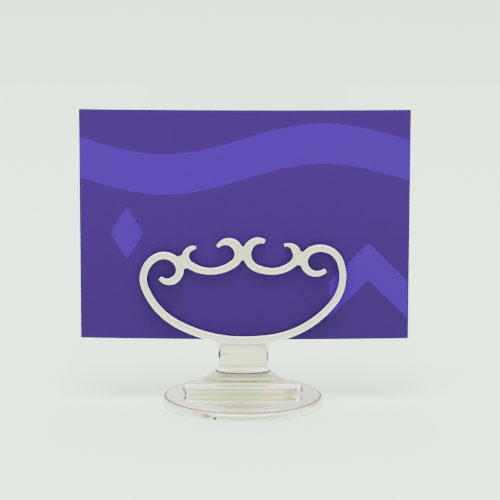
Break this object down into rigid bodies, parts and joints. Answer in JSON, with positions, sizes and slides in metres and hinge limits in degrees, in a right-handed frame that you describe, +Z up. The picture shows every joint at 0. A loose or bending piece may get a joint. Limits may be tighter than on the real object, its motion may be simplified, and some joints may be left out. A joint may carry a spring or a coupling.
{
  "type": "place card holder",
  "caption": "Silver place card holder: round base, riveted folding upright with a waisted boss, and an open front of bent scroll wires that holds a card against a back leaf.",
  "frame": {"origin": "centre of the rim's underside, on the table", "axes": "+X across the card, to the right seen from in front; +Y towards the back; +Z up"},
  "size_m": [0.105, 0.0516, 0.0947],
  "materials": {
    "plate_silver": "mirror-polished silver with fine wipe marks",
    "rim_silver": "polished silver, lightly worn on the convex side",
    "hinge_silver": "polished silver, tarnished in the joints",
    "leaf_silver": "polished silver sheet with fine vertical marks",
    "boss_silver": "polished cast silver",
    "wire_silver": "polished silver wire with bright edges",
    "solder_silver": "silver solder, softly polished",
    "card_stock": "coated indigo card with lighter violet shapes"
  },
  "bodies": {
    "stand": {"base_plate": "plate_silver", "base_rim": "rim_silver", "left_ear": "hinge_silver", "right_ear": "hinge_silver", "hinge_pin": "hinge_silver"},
    "upright": {"back_leaf": "leaf_silver", "neck_boss": "boss_silver", "outer_scroll": "wire_silver", "left_c_scroll": "wire_silver", "right_c_scroll": "wire_silver", "left_saddle": "solder_silver", "centre_saddle": "solder_silver", "right_saddle": "solder_silver"},
    "card": {"place_card": "card_stock"}
  },
  "joints": [
    {"name": "upright_fold", "type": "hinge", "parent": "stand", "child": "upright", "pos_m": [0, 0, 0.0044], "axis": [1, 0, 0], "range_deg": [-90, 60]},
    {"name": "card_lift", "type": "slide", "parent": "upright", "child": "card", "axis": [0, 0, 1], "range_m": [0, 0.08]}
  ]
}
